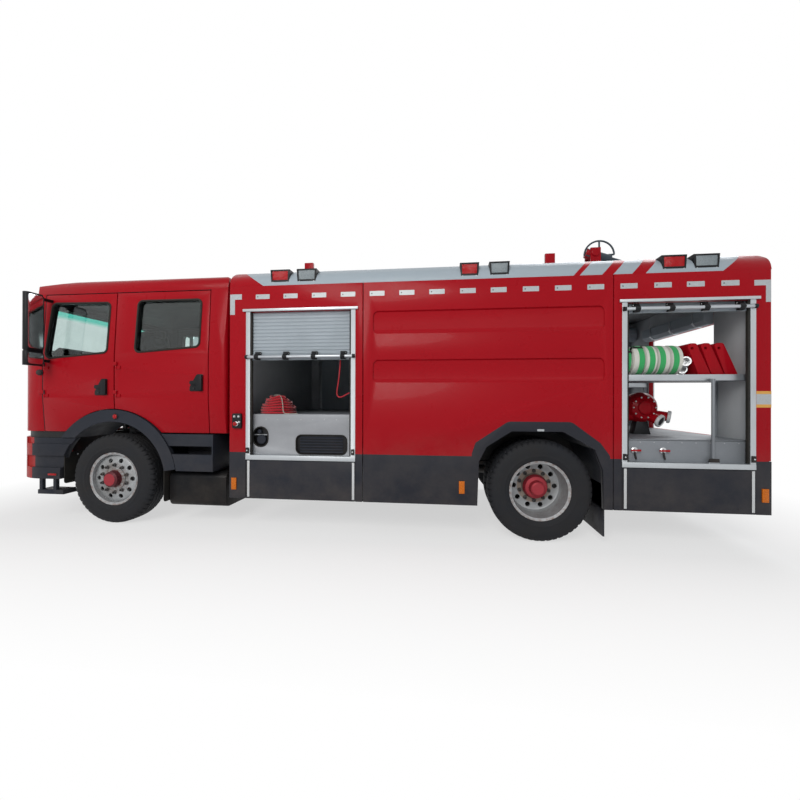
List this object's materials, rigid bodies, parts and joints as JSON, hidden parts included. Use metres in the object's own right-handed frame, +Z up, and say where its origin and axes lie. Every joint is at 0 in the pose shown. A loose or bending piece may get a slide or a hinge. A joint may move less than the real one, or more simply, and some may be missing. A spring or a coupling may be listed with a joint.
{
  "type": "fire truck",
  "caption": "Crew-cab fire truck with a water tank body, roller-shutter lockers, a rear pump bay and a roof monitor.",
  "frame": {"origin": "bottom centre of the bounding box, on the ground", "axes": "+X to the front, +Y to the left, +Z up"},
  "size_m": [8.13, 2.98, 3.461],
  "materials": {
    "red_paint": "gloss red paint",
    "white_paint": "gloss white paint",
    "grey_paint": "dark grey paint",
    "black_paint": "satin black paint",
    "black_plastic": "grained black plastic",
    "tyre": "black rubber",
    "aluminium": "brushed",
    "steel": "satin",
    "cast_iron": "painted casting",
    "glass": "tinted glass",
    "lens_clear": "clear lens",
    "lens_colour": "coloured lens",
    "fabric": "woven cover",
    "hose": "woven hose jacket"
  },
  "bodies": {
    "chassis": {"frame": "black_paint", "engine": "cast_iron", "front_axle": "cast_iron", "rear_axle": "cast_iron", "leaf_springs": "black_paint", "propshaft": "black_paint", "side_tanks": "black_paint", "front_bumper": "red_paint", "cab_steps": "black_plastic", "mudguards": "black_plastic", "tank": "steel", "side_panels": "red_paint", "end_walls": "red_paint", "decks": "aluminium", "skirts": "grey_paint", "roof_deck": "aluminium", "coaming": "white_paint", "locker_frames": "aluminium", "shutters": "aluminium", "pump": "red_paint", "hose_rolls": "hose", "ramps": "red_paint", "ladder": "aluminium", "lamps_clear": "lens_clear", "lamps_colour": "lens_colour"},
    "cab": {"cab_floor": "grey_paint", "cab_back": "red_paint", "cab_front": "red_paint", "cab_roof": "red_paint", "grille": "black_plastic", "windscreen": "glass", "dashboard": "black_plastic", "seats": "fabric"},
    "door_fl": {"door_front_left": "red_paint", "glass_front_left": "glass", "mirror_left": "black_plastic"},
    "door_fr": {"door_front_right": "red_paint", "glass_front_right": "glass", "mirror_right": "black_plastic"},
    "door_rl": {"door_rear_left": "red_paint", "glass_rear_left": "glass"},
    "door_rr": {"door_rear_right": "red_paint", "glass_rear_right": "glass"},
    "knuckle_l": {"knuckle_left": "cast_iron"},
    "knuckle_r": {"knuckle_right": "cast_iron"},
    "tie_rod": {"tie_rod": "black_paint"},
    "wheel_fl": {"tyre_front_left": "tyre", "rim_front_left": "steel"},
    "wheel_fr": {"tyre_front_right": "tyre", "rim_front_right": "steel"},
    "wheels_rl": {"tyres_rear_left": "tyre", "rims_rear_left": "steel"},
    "wheels_rr": {"tyres_rear_right": "tyre", "rims_rear_right": "steel"},
    "step_fl": {"step_panel_front_left": "grey_paint"},
    "step_fr": {"step_panel_front_right": "grey_paint"},
    "step_rl": {"step_panel_rear_left": "grey_paint"},
    "step_rr": {"step_panel_rear_right": "grey_paint"},
    "turret": {"monitor_turret": "red_paint"},
    "barrel": {"monitor_barrel": "black_paint"}
  },
  "joints": [
    {"name": "cab_tilt", "type": "hinge", "parent": "chassis", "child": "cab", "pos_m": [3.945, 0, 1.005], "axis": [0, 1, 0], "range_deg": [0, 45]},
    {"name": "door_front_left", "type": "hinge", "parent": "cab", "child": "door_fl", "pos_m": [3.535, 1.209, 1.6], "axis": [0, 0, -1], "range_deg": [0, 70]},
    {"name": "door_front_right", "type": "hinge", "parent": "cab", "child": "door_fr", "pos_m": [3.535, -1.209, 1.6], "axis": [0, 0, 1], "range_deg": [0, 70]},
    {"name": "door_rear_left", "type": "hinge", "parent": "cab", "child": "door_rl", "pos_m": [2.621, 1.209, 1.6], "axis": [0, 0, -1], "range_deg": [0, 70]},
    {"name": "door_rear_right", "type": "hinge", "parent": "cab", "child": "door_rr", "pos_m": [2.621, -1.209, 1.6], "axis": [0, 0, 1], "range_deg": [0, 70]},
    {"name": "steer_left", "type": "hinge", "parent": "chassis", "child": "knuckle_l", "pos_m": [2.685, 0.88, 0.51], "axis": [0, 0, 1], "range_deg": [-38, 38]},
    {"name": "steer_right", "type": "hinge", "parent": "chassis", "child": "knuckle_r", "pos_m": [2.685, -0.88, 0.51], "axis": [0, 0, 1], "range_deg": [-38, 38]},
    {"name": "tie_rod_turn", "type": "hinge", "parent": "knuckle_l", "child": "tie_rod", "pos_m": [2.465, 0.88, 0.4], "axis": [0, 0, 1], "range_deg": [-38, 38]},
    {"name": "roll_front_left", "type": "hinge", "parent": "knuckle_l", "child": "wheel_fl", "pos_m": [2.685, 1.05, 0.51], "axis": [0, 1, 0], "continuous": true},
    {"name": "roll_front_right", "type": "hinge", "parent": "knuckle_r", "child": "wheel_fr", "pos_m": [2.685, -1.05, 0.51], "axis": [0, 1, 0], "continuous": true},
    {"name": "roll_rear_left", "type": "hinge", "parent": "chassis", "child": "wheels_rl", "pos_m": [-2.015, 0.908, 0.51], "axis": [0, 1, 0], "continuous": true},
    {"name": "roll_rear_right", "type": "hinge", "parent": "chassis", "child": "wheels_rr", "pos_m": [-2.015, -0.908, 0.51], "axis": [0, 1, 0], "continuous": true},
    {"name": "step_front_left", "type": "hinge", "parent": "chassis", "child": "step_fl", "pos_m": [0.452, 1.236, 0.374], "axis": [-1, 0, 0], "range_deg": [0, 90]},
    {"name": "step_front_right", "type": "hinge", "parent": "chassis", "child": "step_fr", "pos_m": [0.452, -1.236, 0.374], "axis": [1, 0, 0], "range_deg": [0, 90]},
    {"name": "step_rear_left", "type": "hinge", "parent": "chassis", "child": "step_rl", "pos_m": [-3.347, 1.236, 0.374], "axis": [-1, 0, 0], "range_deg": [0, 90]},
    {"name": "step_rear_right", "type": "hinge", "parent": "chassis", "child": "step_rr", "pos_m": [-3.347, -1.236, 0.374], "axis": [1, 0, 0], "range_deg": [0, 90]},
    {"name": "monitor_pan", "type": "hinge", "parent": "chassis", "child": "turret", "pos_m": [-2.938, 0, 2.9], "axis": [0, 0, 1], "range_deg": [-170, 170]},
    {"name": "monitor_tilt", "type": "hinge", "parent": "turret", "child": "barrel", "pos_m": [-2.938, 0, 3.27], "axis": [0, 1, 0], "range_deg": [-6, 94]}
  ],
  "couplings": [
    {"joint": "steer_right", "follows": "steer_left", "ratio": 1},
    {"joint": "tie_rod_turn", "follows": "steer_left", "ratio": -1}
  ]
}
